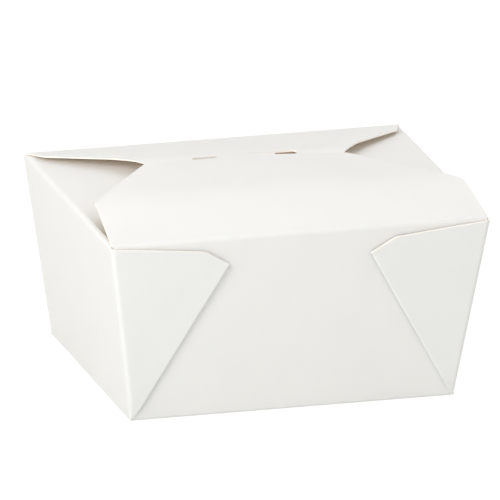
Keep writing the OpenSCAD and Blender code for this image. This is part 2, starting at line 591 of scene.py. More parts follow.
def across(half: float, core: float, tongue: bool) -> list[float]:
    """Places of the columns of a row.

    Args:
        half: Half width of the row.
        core: Half width of the middle columns, which run on into the tongue.
        tongue: Whether the row has the middle columns only.

    Returns:
        Distances from the middle line.
    """
    if tongue:
        return list(np.linspace(-half, half, INNER_COLUMNS + 1))
    side = list(np.linspace(core, half, OUTER_COLUMNS + 1)[1:])
    return [-x for x in reversed(side)] + list(np.linspace(-core, core, INNER_COLUMNS + 1)) + side


def grid_mesh(name: str, rows: list[list[Vector]]) -> bpy.types.Mesh:
    """Makes a mesh from rows of points. A row of fewer points joins the middle of the last one.

    Args:
        name: Name of the mesh.
        rows: The points of each row, in millimetres.

    Returns:
        The mesh, in metres.
    """
    mesh = bpy.data.meshes.new(name)
    bm = bmesh.new()
    last: list[bmesh.types.BMVert] = []
    for points in rows:
        line = [bm.verts.new(point * MM) for point in points]
        skip = (len(last) - len(line)) // 2 if last else 0
        for i in range(len(line) - 1 if last else 0):
            bm.faces.new((last[skip + i], last[skip + i + 1], line[i + 1], line[i]))
        last = line
    bm.to_mesh(mesh)
    bm.free()
    return mesh


def strip_mesh(name: str, rows: list[Row], core: float, hanging: int) -> bpy.types.Mesh:
    """Makes a flat strip from its rows.

    Args:
        name: Name of the mesh.
        rows: Its rows.
        core: Half width of the middle columns.
        hanging: Sign of x on the half that droops.

    Returns:
        The flat mesh, in metres.
    """
    return grid_mesh(name, [
        [
            Vector((x + row.shift, row.along, row.inward(x, hanging)))
            for x in across(row.half, core, row.tongue)
        ]
        for row in rows
    ])


def weld(name: str, meshes: list[bpy.types.Mesh], down: bool = False) -> bpy.types.Mesh:
    """Joins meshes into one sheet whose faces all point out of the box.

    Args:
        name: Name of the sheet.
        meshes: The parts, whose edges meet.
        down: Whether to judge the way out by the lowest face, which then points down. Otherwise by
            the face that lies furthest to the front, which then points forward and up.

    Returns:
        The sheet.
    """
    bm = bmesh.new()
    for mesh in meshes:
        bm.from_mesh(mesh)
    bmesh.ops.remove_doubles(bm, verts=bm.verts, dist=WELD)
    bmesh.ops.recalc_face_normals(bm, faces=bm.faces)
    if down:
        judge = min(bm.faces, key=lambda face: face.calc_center_median().z)
        inward = judge.normal.z > 0
    else:
        judge = min(bm.faces, key=lambda face: face.calc_center_median().y)
        inward = judge.normal.z - judge.normal.y < 0
    if inward:
        bmesh.ops.reverse_faces(bm, faces=bm.faces)
    sheet = bpy.data.meshes.new(name)
    bm.to_mesh(sheet)
    bm.free()
    return sheet


def thicken(name: str, sheet: bpy.types.Mesh, board: float, finishes: Finishes,
            extra: bpy.types.Mesh | None = None) -> bpy.types.Object:
    """Gives a sheet the thickness of the board.

    Args:
        name: Name of the piece.
        sheet: Middle of the board, with its faces pointing out of the box.
        board: Thickness in millimetres.
        finishes: Material of each face of the board.
        extra: A closed mesh that the piece has besides.

    Returns:
        The finished object.
    """
    sheet.materials.clear()
    for face in Face:
        sheet.materials.append(finishes[face])
    piece = bpy.data.objects.new(name, sheet)
    bpy.context.scene.collection.objects.link(piece)
    solid = piece.modifiers.new("thickness", "SOLIDIFY")
    solid.thickness = board * MM
    solid.offset = 0.0
    solid.use_even_offset = True
    solid.use_quality_normals = True
    solid.material_offset = Face.INNER.value
    solid.material_offset_rim = Face.CUT.value
    mesh = settled_mesh(piece)
    piece.modifiers.clear()
    if extra is not None:
        bm = bmesh.new()
        bm.from_mesh(mesh)
        bm.from_mesh(extra)
        bm.to_mesh(mesh)
        bm.free()
    mesh.polygons.foreach_set("use_smooth", [True] * len(mesh.polygons))
    mesh.set_sharp_from_angle(angle=math.radians(SHARP_ANGLE))
    piece.data = mesh
    mesh.name = name
    return piece


@dataclass
class CornerWeb:
    """The web between a long wall and an end wall, folded in half on the outside of the long wall.

    It is built at the front left corner, as rows from the corner of the base up to the cut edge.
    Each row runs from the edge of the end wall round the corner, in to the fold, back out under
    itself and round to the edge of the long wall. The rows above wall_top lean in with the rim
    crease of the end wall.

    drop is how far below the rim's corner the cut edge starts, and dip is how much lower it lies
    from dip_start on, which dies out by dip_reach. tip_drop is how far the fold's tip lies below
    the rim, and tip_w is the length of the cut across it. The layers' steps grow from the share
    settled at the foot to their full size at the height settle. lift is how far the web stands off
    the wall at the rim for each millimetre from the corner, and end_rise is how much higher the
    end wall's side of the last row lies, which closes the corner.
    """

    sizes: BoxSizes
    first: float = 1.0
    wall_top: float = 62.0
    drop: float = 0.8
    dip: float = 0.2
    dip_start: float = 0.4
    dip_reach: float = 9.0
    rows: int = 30
    tip_drop: float = 8.5
    tip_w: float = 9.4
    corner_r: float = 1.4
    settle: float = 7.0
    settled: float = 0.36
    lift: float = 0.0092
    edge_steps: int = 8
    fold_steps: int = 6
    run: int = 12
    head_shares: tuple[float, ...] = (0.0, 0.012, 0.04)
    tip_shares: tuple[float, ...] = (0.0, 0.3, 0.6, 0.85, 0.97, 1.0)
    rim_r: float = 1.2
    rim_rows: int = 4
    end_rise: float = 0.4
    pad_r: float = 0.62
    pad_inset: float = 0.1
    pad_segments: int = 20
    pad_rings: int = 12

    def __post_init__(self) -> None:
        """Finds the directions of the corner."""
        s = self.sizes
        self.foot = Vector((-s.base_l / 2, -s.base_w / 2, s.floor_z))
        self.edge = (Vector((-s.rim_l / 2, -s.rim_w / 2, s.rim_h)) - self.foot).normalized()
        lean, tilt = math.radians(s.long.lean), math.radians(s.end.lean)
        self.long_out = Vector((0, -math.cos(lean), -math.sin(lean)))
        self.end_out = Vector((-math.cos(tilt), 0, -math.sin(tilt)))
        self.long_in = self.edge.cross(self.long_out).normalized()
        if self.long_in.x < 0:
            self.long_in.negate()
        self.end_in = self.edge.cross(self.end_out).normalized()
        if self.end_in.y < 0:
            self.end_in.negate()
        self.up_long = Vector((0, -math.sin(lean), math.cos(lean)))
        self.up_end = Vector((-math.sin(tilt), 0, math.cos(tilt)))
        self.turn = self.long_out.angle(self.end_out)
        long_angle = math.pi / 2 + math.atan2(s.end.out, s.long.slant)
        end_angle = math.pi / 2 + math.atan2(s.long.out, s.end.slant)
        self.half = (2 * math.pi - math.pi / 2 - long_angle - end_angle) / 2
        self.top = math.hypot(s.end.out, s.long.slant) - self.drop
        self.fold_l = (s.long.slant - self.tip_drop) / math.sin(long_angle - self.half)

    @property
    def inset(self) -> float:
        """Distance from the corner to the middle of the fold into the long wall."""
        s = self.sizes
        return (s.layer + s.board) / 2 + s.crease_bead + s.board / 2 + s.layer_gap

    def settle_at(self, climb: float) -> float:
        """Share of their full size that the layers' steps have at a distance up the corner."""
        t = min(max(climb / self.settle, 0.0), 1.0)
        return self.settled + (1 - self.settled) * t * t * (3 - 2 * t)

    def climbs(self) -> list[float]:
        """Distances up the corner of the rows that all walls share."""
        return [float(c) for c in np.linspace(self.first, self.wall_top, self.rows + 1)]

    def rim_climbs(self) -> list[float]:
        """Distances up the corner of the rows that go on into the rim crease of the end wall."""
        return [float(c) for c in np.linspace(self.wall_top, self.top, self.rim_rows + 1)[1:]]

    def long_edge(self, climb: float) -> Vector:
        """Edge of the long wall at a distance up the corner."""
        return self.foot + climb * self.edge + self.inset * self.settle_at(climb) * self.long_in

    def extra(self, climb: float) -> float:
        """How much further up the corner the end wall's side of a row lies."""
        return self.end_rise * max(climb - self.wall_top, 0.0) / (self.top - self.wall_top)

    def end_edge(self, climb: float) -> Vector:
        """Edge of the end wall's flat face at a distance up the corner."""
        share = self.settle_at(climb)
        out = 2 * self.sizes.layer * share / -self.end_in.dot(self.long_out)
        back = self.corner_r * share * math.tan(self.turn / 2)
        return self.foot + (climb + self.extra(climb)) * self.edge + (back - out) * self.end_in

    def rim_shift(self, climb: float) -> Vector:
        """How far the rim crease of the end wall carries its edge in and down."""
        beyond = max(climb - self.wall_top, 0.0) + self.extra(climb)
        arc = beyond * self.edge.dot(self.up_end)
        angle = arc / self.rim_r
        down = (self.rim_r * math.sin(angle) - arc) * self.up_end
        return down - self.rim_r * (1 - math.cos(angle)) * self.end_out

    def cut_edge(self) -> list[Vector]:
        """Cut edge of a half web from the corner to the fold, as distances up it and inward."""
        tip = Vector((math.cos(self.half), math.sin(self.half))) * self.fold_l
        chamfer = tip + Vector((math.sin(self.half), -math.cos(self.half))) * self.tip_w
        head = Vector((self.top, 0.0))
        line = []
        for t in [*self.head_shares, *(i / self.run for i in range(1, self.run))]:
            away = t * (chamfer - head).length
            fade = max(1.0 - away / self.dip_reach, 0.0)
            dip = self.dip * min(away / self.dip_start, 1.0) * fade
            line.append(head.lerp(chamfer, t) - Vector((dip, 0.0)))
        return line + [chamfer.lerp(tip, t) for t in self.tip_shares]

    def half_turn(self, hub: Vector, radius: float, beyond: Vector) -> list[Vector]:
        """Points of a fold between its two layers, from the outer one to the inner one.

        Args:
            hub: Middle of the fold.
            radius: Its radius.
            beyond: Direction from the hub to the crest of the fold.

        Returns:
            The points.
        """
        angles = [math.pi * i / self.fold_steps for i in range(1, self.fold_steps)]
        return [
            hub + radius * (math.cos(angle) * self.long_out + math.sin(angle) * beyond)
            for angle in angles
        ]

    def corner_arc(self, climb: float, first: Vector, radius: float) -> list[Vector]:
        """Points of a row round the corner, from the end wall to the outer layer.

        Args:
            climb: Distance of the row up the corner.
            first: Edge of the end wall's flat face.
            radius: Radius of the corner.

        Returns:
            The points.
        """
        centre = first - radius * self.end_out
        points = []
        for i in range(self.edge_steps + 1):
            angle = self.turn * i / self.edge_steps
            arm = (
                math.sin(self.turn - angle) * self.end_out + math.sin(angle) * self.long_out
            ) / math.sin(self.turn)
            sink = i / self.edge_steps * self.extra(climb)
            points.append(centre + radius * arm - sink * self.edge)
        return points

    def row(self, climb: float) -> list[Vector]:
        """Points of one row, from the edge of the end wall to the edge of the long wall."""
        share, scale = self.settle_at(climb), climb / self.top
        layer = self.sizes.layer * share
        start = self.foot + climb * self.edge
        shift = self.rim_shift(climb)
        arc = self.corner_arc(climb, self.end_edge(climb) + shift, self.corner_r * share)
        cut = self.cut_edge()
        lifts = [self.lift * scale * scale * spot.y for spot in cut]
        flat = [self.foot + scale * (spot.x * self.edge + spot.y * self.long_in) for spot in cut]
        shares = [spot.y / cut[-1].y for spot in cut]
        swing = arc[-1] - start
        outer = [
            place + (1 - t) * swing + (t * 2 * layer + up) * self.long_out
            for place, t, up in zip(flat, shares, lifts)
        ]
        back = self.inset * share * self.long_in + shift
        inner = [
            place + (1 - t) * back + (layer + up) * self.long_out
            for place, t, up in zip(flat, shares, lifts)
        ]
        fold_hub = flat[-1] + (1.5 * layer + lifts[-1]) * self.long_out
        fold_way = -math.sin(self.half) * self.edge + math.cos(self.half) * self.long_in
        wall_hub = start + back + layer / 2 * self.long_out
        return [
            *arc, *outer[1:], *self.half_turn(fold_hub, layer / 2, fold_way), *reversed(inner),
            *self.half_turn(wall_hub, layer / 2, -self.long_in), self.long_edge(climb) + shift,
        ]

    def mesh(self) -> bpy.types.Mesh:
        """The middle of the board of one web."""
        rows = [self.row(climb) for climb in self.climbs() + self.rim_climbs()]
        return grid_mesh("corner_web", rows)

    def pads(self) -> bpy.types.Mesh:
        """Closed pads of board at the four corners of the base, where every crease meets."""
        s = self.sizes
        mesh = bpy.data.meshes.new("corner_pads")
        bm = bmesh.new()
        for x in (-1, 1):
            for y in (-1, 1):
                place = Vector((
                    x * (s.base_l / 2 - self.pad_inset), y * (s.base_w / 2 - self.pad_inset),
                    self.pad_r,
                ))
                bmesh.ops.create_uvsphere(
                    bm, u_segments=self.pad_segments, v_segments=self.pad_rings,
                    radius=self.pad_r * MM, matrix=Matrix.Translation(place * MM),
                )
        bm.to_mesh(mesh)
        bm.free()
        return mesh


@dataclass
class FoldedSheet:
    """The whole die-cut sheet: base, walls, webs, two end flaps, back flap and front flap.

    Most sizes repeat the part's source. Those fitted to the look alone are front_rise, the radii
    of the creases, waist_w, neck_w, front_corner_r, the end flaps' laps and rise, the bows and the
    droops.
    """

    sizes: BoxSizes = field(default_factory=BoxSizes)
    base_r: float = 0.6
    end_rim_r: float = 1.2
    back_rim_r: float = 0.7
    front_rim_r: float = 1.0
    front_rise: float = 17.48
    front_root: float = 19.0
    front_bend_r: float = 40.0
    front_fall: float = 1.75
    front_tail: float = 28.8
    front_side: float = 23.5
    front_draw: float = 1.3
    front_edge_w: float = 70.0
    front_corner_r: float = 0.8
    tongue_w: float = 20.0
    tongue_reach: float = 2.0
    tongue_l: float = 12.0
    tongue_taper: float = 5.0
    tongue_r: float = 0.6
    back_gap: float = 0.43
    back_dip: float = 5.0
    back_bend_r: float = 20.0
    back_lap: float = 2.2
    shoulder_l: float = 10.5
    shoulder_draw: float = 3.6
    waist_l: float = 25.6
    waist_w: float = 85.0
    neck_w: float = 66.0
    back_margin: float = 6.0
    slot_l: float = 36.0
    slot_w: float = 2.6
    slot_gap: float = 0.75
    slot_steps: int = 12
    slot_clear_l: float = 0.4
    slot_clear_w: float = 0.3
    end_reach: float = 38.5
    end_edge_w: float = 56.0
    end_lap_front: float = 1.9
    end_lap_back: float = 3.1
    end_flap_rise: float = 2.0
    rim_taper: float = 1.4
    rim_row_gap: float = 0.05
    corner_r: float = 2.0
    spacing: float = 1.5
    crease_steps: int = 8
    neck_rows: int = 4
    curl_rows: int = 8
    support: float = 0.22
    strip_overlap: float = 1.4
    long_bow: float = -0.15
    end_bow: float = 0.25
    droop: float = 0.0011
    droop_blend: float = 4.0
    end_droop: float = 0.3
    end_droop_reach: float = 4.0

    def __post_init__(self) -> None:
        """Works out the turns of each strip, and the web that fits them."""
        s = self.sizes
        tail = self.front_tail + self.tongue_reach
        end = self.flap_end(
            self.front_rise, self.front_root, self.front_bend_r, -self.front_fall, tail)
        fall = math.radians(self.front_fall)
        edge = (
            end[0] - self.tongue_reach * math.cos(fall),
            end[1] + self.tongue_reach * math.sin(fall),
        )
        self.front_edge = edge[0]
        self.swing_r = math.hypot(*end)
        tongue_turn = 90 - math.degrees(math.atan2(end[1], end[0])) - self.front_fall
        dip = math.radians(self.back_dip)
        cos, sin, radius = math.cos(dip), math.sin(dip), self.back_bend_r
        lap = (s.rim_w - edge[0], edge[1] - s.board - self.back_gap)
        bend_end = (lap[0] - self.back_lap * cos, lap[1] + self.back_lap * sin)
        hub = (bend_end[0] - radius * sin, bend_end[1] - radius * cos)
        span = math.hypot(*hub)
        self.back_rise = math.degrees(math.atan2(hub[1], hub[0]) + math.asin(radius / span))
        self.back_root = math.sqrt(span ** 2 - radius ** 2)
        slot_rear = self.swing_r - s.rim_w / 2 + s.board / 2 + self.slot_gap
        self.slot_y = slot_rear - self.slot_w / 2
        self.back_edge_y = self.slot_y - self.slot_w / 2 - self.back_margin
        self.back_tail = (s.rim_w / 2 - bend_end[0] - self.back_edge_y) / cos
        self.front = self.turns(s.base_w / 2, s.long, self.front_rim_r, self.front_rise, [
            (self.front_root, self.front_bend_r, self.front_rise + self.front_fall),
        ])
        crease_at = self.front[-1].end + tail
        tongue_back = setback(self.tongue_r, tongue_turn)
        fold = Turn("Tongue", crease_at - tongue_back, self.tongue_r, tongue_turn)
        curl = math.degrees(self.tongue_l / self.swing_r)
        self.front += [fold, Turn("Curl", fold.end, self.swing_r, curl)]
        self.back = self.turns(s.base_w / 2, s.long, self.back_rim_r, self.back_rise, [
            (self.back_root, self.back_bend_r, self.back_rise + self.back_dip),
        ])
        self.end = self.turns(s.base_l / 2, s.end, self.end_rim_r, self.end_flap_rise, [])
        self.web = web = CornerWeb(s)
        flat_end = s.end.slant - setback(self.end_rim_r, self.end[1].angle)
        out = web.end_edge(web.wall_top) - web.foot - web.wall_top * web.edge
        web.wall_top = (flat_end - out.dot(web.up_end)) / web.edge.dot(web.up_end)
        web.rim_r = self.end_rim_r

    @staticmethod
    def flap_end(rise: float, root: float, bend_r: float, fall: float,
                 tail: float) -> tuple[float, float]:
        """End of a path that leaves a crease at one slope, bends and goes on at another.

        Args:
            rise: Slope at which it leaves the crease.
            root: Length of its first straight part.
            bend_r: Radius of its bend.
            fall: Slope after the bend, below zero where it goes down.
            tail: Length of its last straight part.

        Returns:
            Distance and height from the crease.
        """
        up, down = math.radians(rise), math.radians(fall)
        return (
            root * math.cos(up) + bend_r * (math.sin(up) - math.sin(down)) + tail * math.cos(down),
            root * math.sin(up) + bend_r * (math.cos(down) - math.cos(up)) + tail * math.sin(down),
        )

    def turns(self, base: float, slope: Slope, rim_r: float, rise: float,
              bends: list[tuple[float, float, float]]) -> list[Turn]:
        """Places the base crease, the rim crease and the bends of a strip along its flat length.

        Args:
            base: Distance from the middle of the base to its crease.
            slope: Slope of the wall.
            rim_r: Radius of the rim crease.
            rise: Angle at which the flap leaves the rim.
            bends: Flat length before each later bend, its radius and its angle.

        Returns:
            The turns, nearest first.
        """
        wall_turn = 90 - slope.lean
        foot_back = setback(self.base_r, wall_turn)
        foot = Turn("Base", base - foot_back, self.base_r, wall_turn)
        rim_turn = 180 - wall_turn - rise
        back = setback(rim_r, rim_turn)
        made = [foot, Turn("Rim", foot.end + slope.slant - foot_back - back, rim_r, rim_turn)]
        for before, radius, angle in bends:
            made.append(Turn("Bend", made[-1].end + before - back, radius, angle))
            back = 0.0
        return made

    def crease_rows(self, turn: Turn, first: float, last: float) -> list[Row]:
        """Rows through a crease, whose half width goes evenly from first to last."""
        steps = self.crease_steps
        return [
            Row(turn.start + turn.length * i / steps, first + (last - first) * i / steps)
            for i in range(steps + 1)
        ]

    def wall_rows(self, strip: list[Turn], edges: list[Vector], up: Vector, half_axis: int,
                  bow: float) -> list[Row]:
        """Rows of a wall, through the ends of the rows of its webs.

        Args:
            strip: The turns of the wall's strip.
            edges: Edge of the wall at each row.
            up: Direction up the wall.
            half_axis: Axis that the wall's width runs along.
            bow: How far the middle of the wall swells outward.

        Returns:
            The rows.
        """
        crease = strip[0]
        offset = crease.end - setback(crease.radius, crease.angle)
        climbs = [(edge - self.web.foot).dot(up) for edge in edges]
        span = climbs[-1] - climbs[0]
        swells = [bow * math.sin(math.pi * (climb - climbs[0]) / span) for climb in climbs]
        return [
            Row(offset + climb, abs(edge[half_axis]), outward=swell)
            for climb, edge, swell in zip(climbs, edges, swells)
        ]

    def long_wall(self, strip: list[Turn]) -> tuple[list[Row], float]:
        """Rows of a long wall from the base up.

        Args:
            strip: The turns of the wall's strip.

        Returns:
            The rows, and the half width where the rim crease starts.
        """
        s, web = self.sizes, self.web
        edges = [web.long_edge(climb) for climb in web.climbs()]
        wall = self.wall_rows(strip, edges, web.up_long, 0, self.long_bow)
        wall = self.crease_rows(strip[0], self.end[0].start, wall[0].half)[:-1] + wall
        widen = s.end.out / s.long.slant
        return wall, wall[-1].half + widen * (strip[1].start - wall[-1].along)

    def reach_table(self, turns: list[Turn], last: float) -> tuple[list[float], list[float]]:
        """How far the flat strip of a long wall reaches in from its rim's crease.

        Args:
            turns: The strip's turns, nearest first.
            last: Distance along the flat strip at which the table ends.

        Returns:
            Distances along the flat strip beyond the rim, and how far each reaches in.
        """
        along = [float(a) for a in np.linspace(turns[1].end, last, TABLE_STEPS)]
        return along, [self.sizes.rim_w / 2 - folded(turns[:3], a)[0] for a in along]

    def drooping(self, rows: list[Row], along: list[float], reach: list[float],
                 back: bool) -> list[Row]:
        """Lets the right half of a flap hang, as both do by the same amount where they lap.

        Args:
            rows: Rows of the flap.
            along: Distances along the flat strip, rising.
            reach: How far each of them lies from the flap's crease.
            back: Whether it is the back flap.

        Returns:
            The rows with their droop.
        """
        width, blend = self.sizes.rim_w, self.droop_blend
        hung = []
        for row in rows:
            away = float(np.interp(row.along, along, reach)) - self.strip_overlap
            if back:
                share = (away / (width - self.front_edge)) ** 2
                ends = (width - away, self.front_edge * share)
                away = -blend * math.log(sum(math.exp(-end / blend) for end in ends))
            hung.append(replace(row, droop=self.droop * max(away, 0.0)))
        return hung

    def front_rows(self) -> tuple[list[Row], list[Row], list[Row]]:
        """Rows of the front wall, of the crease strip and of the front flap with its tongue."""
        s = self.sizes
        wall, head = self.long_wall(self.front)
        rim, bend, tongue = self.front[1:4]
        root = s.flap_root - s.hinge_gap
        free = bend.end + self.front_tail
        along, reach = self.reach_table(self.front, tongue.start)
        outline = fillet([
            (0.0, root), (self.front_side, root - self.front_draw),
            (self.front_edge, self.front_edge_w / 2), (self.front_edge, 0.0),
        ], self.front_corner_r)[:-1]
        cut = rim.end + self.strip_overlap - setback(rim.radius, rim.angle)
        flap = outline_rows(along, reach, outline, cut, free, self.spacing)
        flap = self.drooping(flap, along, reach, False)
        flap[0] = replace(flap[0], droop=0.0)
        strip = [
            wall[-1], Row(rim.start - self.support, head), *self.crease_rows(rim, head, root),
            Row(rim.end + self.support, root), flap[0],
        ]
        return wall, strip, flap + self.tongue_rows(free, flap[-1].droop)

    def tongue_rows(self, free: float, hang: float) -> list[Row]:
        """Rows of the tongue.

        Args:
            free: Distance along the flat strip of the flap's free edge.
            hang: Droop of the flap there.

        Returns:
            The rows beyond the free edge.
        """
        half = self.tongue_w / 2
        fold, curl = self.front[3:]
        neck = np.linspace(free, fold.start - self.support, self.neck_rows)[1:]
        rows = [Row(a, half) for a in neck] + self.crease_rows(fold, half, half)
        side = fillet([
            (0.0, half), (self.tongue_l, half - self.tongue_taper / 2), (self.tongue_l, 0.0),
        ], self.corner_r)[:-1]
        spots = [*np.linspace(self.support, self.tongue_l, self.curl_rows), *(d for d, _ in side)]
        for spot in sorted({round(float(spot), 4) for spot in spots if spot > 0}):
            rows.append(Row(curl.start + spot, float(np.interp(spot, *zip(*side)))))
        return [replace(row, tongue=True, droop=hang) for row in rows]

    def back_rows(self) -> list[Row]:
        """Rows of the back wall with its flap."""
        s = self.sizes
        wall, head = self.long_wall(self.back)
        rim, bend = self.back[1:]
        root = s.flap_root
        last = bend.end + self.back_tail
        along, reach = self.reach_table(self.back, last)
        depth = s.rim_w / 2 - self.back_edge_y
        outline = fillet([
            (0.0, root), (self.shoulder_l, root - self.shoulder_draw),
            (self.waist_l, self.waist_w / 2), (s.rim_w - self.front_edge, self.neck_w / 2),
            (depth, (self.neck_w - self.back_margin) / 2), (depth, 0.0),
        ], self.corner_r)[:-1]
        flap = outline_rows(along, reach, outline, rim.end + self.support, last, self.spacing)
        flap = self.drooping(flap, along, reach, True)
        return wall + self.crease_rows(rim, head, root) + flap

    def end_rows(self, side: int) -> list[Row]:
        """Rows of an end wall with its flap, where side is 1 at the left and -1 at the right."""
        s, web = self.sizes, self.web
        foot, rim = self.end
        wall, top = (
            self.wall_rows(self.end, [web.end_edge(c) for c in climbs], web.up_end, 1, bow)
            for climbs, bow in ((web.climbs(), self.end_bow), (web.rim_climbs(), 0.0))
        )
        wall = self.crease_rows(foot, self.front[0].start, wall[0].half)[:-1] + wall + top
        laps = (self.end_lap_front, self.end_lap_back)
        root = (s.rim_w - sum(laps)) / 2
        shift = side * (laps[0] - laps[1]) / 2
        back = setback(rim.radius, rim.angle)
        outline = fillet([
            (0.0, root), (self.end_reach, self.end_edge_w / 2), (self.end_reach, 0.0),
        ], self.corner_r)[:-1]
        start, last = rim.end + self.support, rim.end + self.end_reach - back
        flap = []
        for row in outline_rows([rim.end, last], [back, self.end_reach], outline, start, last,
                                2 * self.spacing):
            away = row.along - rim.end - self.support
            left = (last - row.along) / (last - rim.end)
            droop = self.end_droop * left * away / (away + self.end_droop_reach)
            flap.append(Row(row.along, row.half, shift=shift * left, droop=droop))
        head, reached = wall[-1].half, wall[-1].along
        crease = []
        for row in self.crease_rows(rim, 0.0, 1.0)[1:]:
            if row.along > reached + self.rim_row_gap:
                share = min(1.0, self.rim_taper * (row.along - reached) / (rim.end - reached))
                crease.append(Row(row.along, head + (root - head) * share, shift=shift * share))
        return wall + crease + flap

    def base_mesh(self) -> bpy.types.Mesh:
        """The flat of the base, whose edges carry the ends of the strips' columns."""
        halves = (self.end[0].start, self.front[0].start)
        xs, ys = (across(half, self.tongue_w / 2, False) for half in halves)
        return grid_mesh("base", [[Vector((x, y, self.sizes.floor_z)) for x in xs] for y in ys])

    def slot_ring(self) -> tuple[Points, float, float, float]:
        """Outline of the tongue's slot on the flat back strip.

        Returns:
            Its points, the distance along the strip of its middle line, the radius of its round
            ends and the half length of its straight part.
        """
        s = self.sizes
        rim, bend = self.back[1:]
        along = np.linspace(rim.end, bend.end + self.back_tail, TABLE_STEPS)
        plan = [s.rim_w / 2 - folded(self.back, a)[0] for a in along]
        rear, near = (
            float(np.interp(s.rim_w / 2 - self.slot_y + side * self.slot_w / 2, plan, along))
            for side in (-1, 1)
        )
        middle, radius = (rear + near) / 2, (near - rear) / 2
        straight = self.slot_l / 2 - radius
        ring = []
        for side in (1, -1):
            for i in range(self.slot_steps + 1):
                angle = math.pi * (i / self.slot_steps - 0.5)
                ring.append((
                    side * (straight + radius * math.cos(angle)),
                    middle + side * radius * math.sin(angle),
                ))
        return ring, middle, radius, straight

    def cut_slot(self, mesh: bpy.types.Mesh) -> None:
        """Cuts the tongue's slot through the flat back strip.

        The faces round the slot go, and new ones fill what lies between their edge and the slot.

        Args:
            mesh: The flat strip, which is changed.
        """
        ring, middle, radius, straight = self.slot_ring()
        bm = bmesh.new()
        bm.from_mesh(mesh)
        side, reach = self.slot_l / 2 + self.slot_clear_l, radius + self.slot_clear_w
        doomed = {
            f for f in bm.faces
            if min(abs(v.co.x) for v in f.verts) / MM < side
            and max(v.co.y for v in f.verts) / MM > middle - reach
            and min(v.co.y for v in f.verts) / MM < middle + reach
        }
        inner = [f for f in bm.faces if f in doomed]
        rim_edges = [
            e for f in inner for e in f.edges if sum(g in doomed for g in e.link_faces) == 1
        ]
        rim_verts = list(dict.fromkeys(v for e in rim_edges for v in e.verts))
        number = {v: i for i, v in enumerate(rim_verts)}
        flat = [Vector((v.co.x / MM, v.co.y / MM)) for v in rim_verts] + [Vector(p) for p in ring]
        count = len(rim_verts)
        edges = [(number[e.verts[0]], number[e.verts[1]]) for e in rim_edges]
        edges += [(count + i, count + (i + 1) % len(ring)) for i in range(len(ring))]
        bmesh.ops.delete(bm, geom=inner, context="FACES_ONLY")
        points, _, faces, origin, _, _ = delaunay_2d_cdt(flat, edges, [], 1, CLOSE)
        verts = []
        for point, source in zip(points, origin):
            known = [rim_verts[i] for i in source if i < count]
            verts.append(known[0] if known else bm.verts.new((point.x * MM, point.y * MM, 0.0)))
        for face in faces:
            x, y = (sum(points[i][axis] for i in face) / len(face) for axis in (0, 1))
            if math.hypot(max(abs(x) - straight, 0.0), y - middle) > radius * SLOT_SHARE:
                bm.faces.new([verts[i] for i in face])
        loose = [v for v in bm.verts if not v.link_faces]
        bmesh.ops.delete(bm, geom=loose, context="VERTS")
        bm.to_mesh(mesh)
        bm.free()

    def fold(self, name: str, rows: list[Row], turns: list[Turn], tree: bpy.types.NodeTree,
             facing: Facing, slotted: bool = False) -> bpy.types.Mesh:
        """Lays out a strip and folds it.

        Args:
            name: Name of the strip.
            rows: Its rows.
            turns: Its turns.
            tree: Tree that folds it.
            facing: Its side of the base.
            slotted: Whether it has the tongue's slot.

        Returns:
            The folded mesh.
        """
        hanging = -1 if facing in (Facing.FRONT, Facing.LEFT) else 1
        mesh = strip_mesh(name, rows, self.tongue_w / 2, hanging)
        if slotted:
            self.cut_slot(mesh)
        values = {"Facing": facing.value, "Height": self.sizes.floor_z * MM}
        for turn in turns:
            values[f"{turn.name} start"] = turn.start * MM
            values[f"{turn.name} radius"] = turn.radius * MM
            values[f"{turn.name} angle"] = math.radians(turn.angle)
        return through_tree(mesh, tree, values)

    def build(self, finishes: Finishes) -> list[bpy.types.Object]:
        """Builds the box, the crease strip and the front flap, and says what each rides on.

        Args:
            finishes: Material of each face of the board.

        Returns:
            The three pieces.
        """
        board = finishes[Face.OUTER]
        crease = crease_tree()
        front_tree = fold_tree("Fold the front strip", self.front, crease, board)
        back_tree = fold_tree("Fold the back strip", self.back, crease, board)
        end_tree = fold_tree("Fold an end strip", self.end, crease, board)
        wall, strip, flap = self.front_rows()
        back = self.back_rows()
        parts = [
            self.base_mesh(),
            self.fold("front_wall", wall, self.front, front_tree, Facing.FRONT),
            self.fold("back_wall", back, self.back, back_tree, Facing.BACK, slotted=True),
            self.fold("left_wall", self.end_rows(1), self.end, end_tree, Facing.LEFT),
            self.fold("right_wall", self.end_rows(-1), self.end, end_tree, Facing.RIGHT),
            through_tree(self.web.mesh(), corners_tree(board), {}),
        ]
        thick = self.sizes.board
        sheet = weld("box_sheet", parts, down=True)
        box = thicken("folded_box", sheet, thick, finishes, self.web.pads())
        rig.ride(box, "box")
        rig.replaces(box, "box")
        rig.slot(box, "box_board")
        parts = [self.fold("crease_strip", strip, self.front, front_tree, Facing.FRONT)]
        hinge = thicken("front_crease", weld("crease_sheet", parts), thick, finishes)
        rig.blend(hinge, "box", "front_flap",
                 start=(0, -0.04914, 0.0618), end=(0, -0.04845, 0.06284))
        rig.slot(hinge, "flap_board")
        parts = [self.fold("front_flap", flap, self.front, front_tree, Facing.FRONT)]
        lid = thicken("front_flap", weld("flap_sheet", parts), thick, finishes)
        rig.ride(lid, "front_flap")
        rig.replaces(lid, "tab_flap")
        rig.slot(lid, "flap_board")
        return [box, hinge, lid]


def linear(hexcode: str) -> tuple[float, float, float, float]:
    """Linear colour of an sRGB hex code such as f4f3ef."""
    parts = [int(hexcode[i:i + 2], 16) / 255 for i in (0, 2, 4)]
    return (*[c / 12.92 if c <= 0.04045 else ((c + 0.055) / 1.055) ** 2.4 for c in parts], 1.0)


